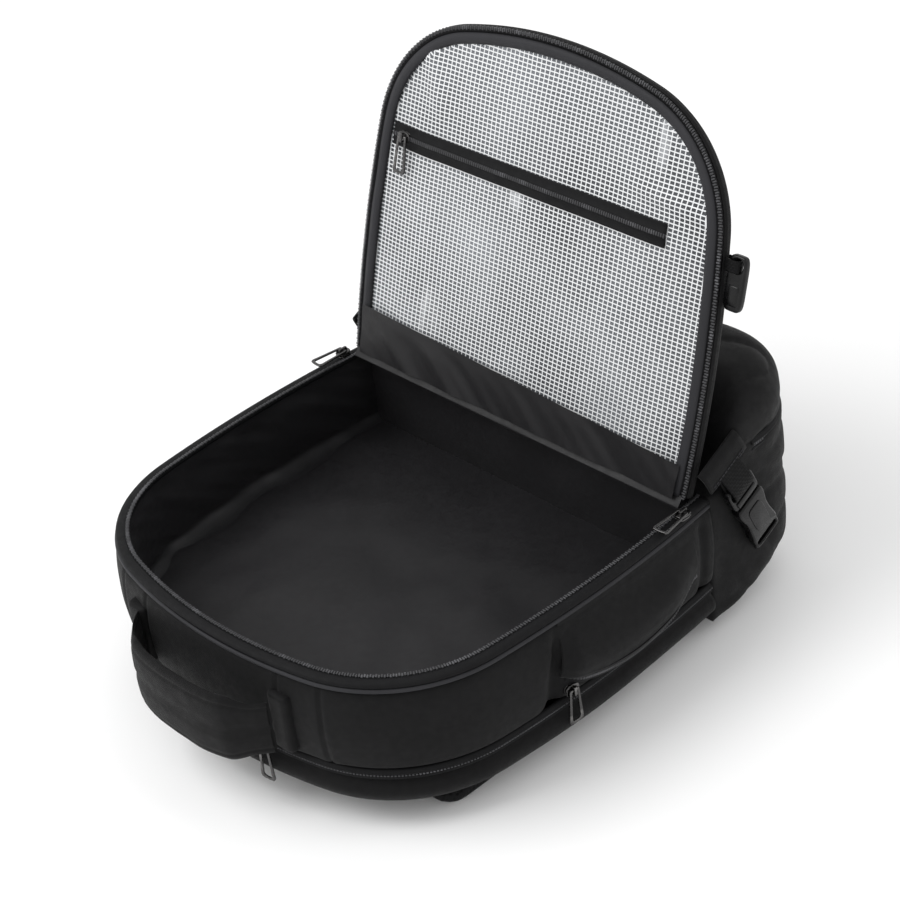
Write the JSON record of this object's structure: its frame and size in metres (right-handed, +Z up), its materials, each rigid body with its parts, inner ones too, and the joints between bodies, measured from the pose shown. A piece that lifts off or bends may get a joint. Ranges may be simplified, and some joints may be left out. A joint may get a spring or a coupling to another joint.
{
  "type": "travel backpack",
  "caption": "Clamshell travel backpack lying on its back with the mesh-lined lid open, zipped compartments, grab handle, buckles and shoulder straps.",
  "frame": {"origin": "centre of the bounding box at the floor under the bag", "axes": "+X to the bag's side, +Y from the carrying handle to the base compartment, +Z up from the floor the bag lies on"},
  "size_m": [0.358, 0.4444, 0.3795],
  "materials": {
    "shell_fabric": "smooth dense woven, faint sheen",
    "lining_fabric": "thin crinkled lining",
    "mesh": "clear film with a white woven grid",
    "binding": "ribbed tape",
    "zip_tape": "woven tape with a coil",
    "webbing": "ribbed webbing",
    "air_mesh": "spacer mesh",
    "foam": "closed-cell foam",
    "board": "stiffener sheet",
    "buckle_plastic": "moulded, fine grain",
    "gunmetal": "plated, satin"
  },
  "bodies": {
    "bag": {"back_pads": "air_mesh", "rear_shell": "shell_fabric", "back_board": "board", "laptop_sleeve": "lining_fabric", "laptop_zip": "zip_tape", "main_wall": "shell_fabric", "main_lining": "lining_fabric", "base_partition": "lining_fabric", "rim_zip": "zip_tape", "rim_piping": "binding", "hinge_panel": "lining_fabric", "base_shell": "shell_fabric", "base_top": "shell_fabric", "base_zip": "zip_tape", "side_pocket_right": "shell_fabric", "side_pocket_left": "shell_fabric", "side_zip_right": "zip_tape", "side_zip_left": "zip_tape", "handle_anchors": "webbing", "strap_anchors": "webbing", "compression_webbing": "webbing", "compression_male_right": "buckle_plastic", "compression_male_left": "buckle_plastic"},
    "lid": {"lid_shell": "shell_fabric", "lid_foam": "foam", "lid_lining": "lining_fabric", "lid_zip": "zip_tape", "lid_binding": "binding", "mesh_upper": "mesh", "mesh_lower": "mesh", "mesh_zip": "zip_tape", "front_pocket": "shell_fabric", "front_zip": "zip_tape", "lid_buckle_tab": "webbing"},
    "lid_buckle": {"lid_buckle": "buckle_plastic"},
    "compression_female_right": {"compression_female_right": "buckle_plastic"},
    "shoulder_strap_right": {"shoulder_strap_right": "air_mesh", "ladder_lock_right": "buckle_plastic"},
    "compression_female_left": {"compression_female_left": "buckle_plastic"},
    "shoulder_strap_left": {"shoulder_strap_left": "air_mesh", "ladder_lock_left": "buckle_plastic"},
    "top_handle": {"top_handle": "shell_fabric"},
    "main_right_slider": {"main_right_slider": "gunmetal"},
    "main_right_puller": {"main_right_puller": "gunmetal"},
    "side_right_slider": {"side_right_slider": "gunmetal"},
    "side_right_puller": {"side_right_puller": "gunmetal"},
    "main_left_slider": {"main_left_slider": "gunmetal"},
    "main_left_puller": {"main_left_puller": "gunmetal"},
    "side_left_slider": {"side_left_slider": "gunmetal"},
    "side_left_puller": {"side_left_puller": "gunmetal"},
    "laptop_slider": {"laptop_slider": "gunmetal"},
    "laptop_puller": {"laptop_puller": "gunmetal"},
    "base_slider": {"base_slider": "gunmetal"},
    "base_puller": {"base_puller": "gunmetal"},
    "mesh_slider": {"mesh_slider": "gunmetal"},
    "mesh_puller": {"mesh_puller": "gunmetal"},
    "front_slider": {"front_slider": "gunmetal"},
    "front_puller": {"front_puller": "gunmetal"}
  },
  "joints": [
    {"name": "lid_hinge", "type": "hinge", "parent": "bag", "child": "lid", "pos_m": [0, 0.08475, 0.119], "axis": [1, 0, 0], "range_deg": [0, 106]},
    {"name": "lid_buckle_swing", "type": "hinge", "parent": "lid", "child": "lid_buckle", "pos_m": [0.1696, 0.13847, 0.27733], "axis": [0, -0.9613, 0.2756], "range_deg": [0, 70]},
    {"name": "compression_right_release", "type": "slide", "parent": "bag", "child": "compression_female_right", "axis": [0, 0.4384, -0.8988], "range_m": [0, 0.03]},
    {"name": "shoulder_strap_right_swing", "type": "hinge", "parent": "bag", "child": "shoulder_strap_right", "pos_m": [0.068, -0.15025, 0.0005], "axis": [-1, 0, 0], "range_deg": [0, 15]},
    {"name": "compression_left_release", "type": "slide", "parent": "bag", "child": "compression_female_left", "axis": [0, 0.4384, -0.8988], "range_m": [0, 0.03]},
    {"name": "shoulder_strap_left_swing", "type": "hinge", "parent": "bag", "child": "shoulder_strap_left", "pos_m": [-0.068, -0.15025, 0.0005], "axis": [-1, 0, 0], "range_deg": [0, 15]},
    {"name": "top_handle_swing", "type": "hinge", "parent": "bag", "child": "top_handle", "pos_m": [0, -0.19925, 0.076], "axis": [1, 0, 0], "range_deg": [-25, 25]},
    {"name": "main_right_slider_run", "type": "hinge", "parent": "bag", "child": "main_right_slider", "pos_m": [-0.812, 0.00475, 0.118], "axis": [0, 0, -1], "range_deg": [0, 4]},
    {"name": "main_right_puller_swing", "type": "hinge", "parent": "main_right_slider", "child": "main_right_puller", "pos_m": [0.16352, 0.07775, 0.1224], "axis": [-0.9972, -0.0746, 0], "range_deg": [0, 120]},
    {"name": "side_right_slider_run", "type": "hinge", "parent": "bag", "child": "side_right_slider", "pos_m": [-0.812, 0.00475, 0.056], "axis": [0, 0, 1], "range_deg": [0, 6]},
    {"name": "side_right_puller_swing", "type": "hinge", "parent": "side_right_slider", "child": "side_right_puller", "pos_m": [0.17249, -0.04196, 0.056], "axis": [-0.0474, -0.9989, 0], "range_deg": [0, 95]},
    {"name": "main_left_slider_run", "type": "hinge", "parent": "bag", "child": "main_left_slider", "pos_m": [0.812, 0.00475, 0.118], "axis": [0, 0, 1], "range_deg": [0, 4]},
    {"name": "main_left_puller_swing", "type": "hinge", "parent": "main_left_slider", "child": "main_left_puller", "pos_m": [-0.16352, 0.07775, 0.1224], "axis": [-0.9972, 0.0746, 0], "range_deg": [0, 120]},
    {"name": "side_left_slider_run", "type": "hinge", "parent": "bag", "child": "side_left_slider", "pos_m": [0.812, 0.00475, 0.056], "axis": [0, 0, -1], "range_deg": [0, 6]},
    {"name": "side_left_puller_swing", "type": "hinge", "parent": "side_left_slider", "child": "side_left_puller", "pos_m": [-0.17249, -0.04196, 0.056], "axis": [-0.0474, 0.9989, 0], "range_deg": [0, 95]},
    {"name": "laptop_slider_run", "type": "hinge", "parent": "bag", "child": "laptop_slider", "pos_m": [0, 0.17575, 0.044], "axis": [0, 0, -1], "range_deg": [0, 11]},
    {"name": "laptop_puller_swing", "type": "hinge", "parent": "laptop_slider", "child": "laptop_puller", "pos_m": [0.0467, -0.19694, 0.044], "axis": [-0.9922, -0.1243, 0], "range_deg": [0, 35]},
    {"name": "base_slider_run", "type": "slide", "parent": "bag", "child": "base_slider", "axis": [-1, 0, 0], "range_m": [0, 0.16]},
    {"name": "base_puller_swing", "type": "hinge", "parent": "base_slider", "child": "base_puller", "pos_m": [0.08, 0.22035, 0.136], "axis": [1, 0, 0], "range_deg": [0, 150]},
    {"name": "mesh_slider_run", "type": "slide", "parent": "lid", "child": "mesh_slider", "axis": [1, 0, 0], "range_m": [0, 0.236]},
    {"name": "mesh_puller_swing", "type": "hinge", "parent": "mesh_slider", "child": "mesh_puller", "pos_m": [-0.128, 0.1287, 0.28533], "axis": [-1, 0, 0], "range_deg": [0, 150]},
    {"name": "front_slider_run", "type": "slide", "parent": "lid", "child": "front_slider", "axis": [0, 0.2756, 0.9613], "range_m": [0, 0.158]},
    {"name": "front_puller_swing", "type": "hinge", "parent": "front_slider", "child": "front_puller", "pos_m": [0.126, 0.11952, 0.16625], "axis": [1, 0, 0], "range_deg": [0, 20]}
  ]
}
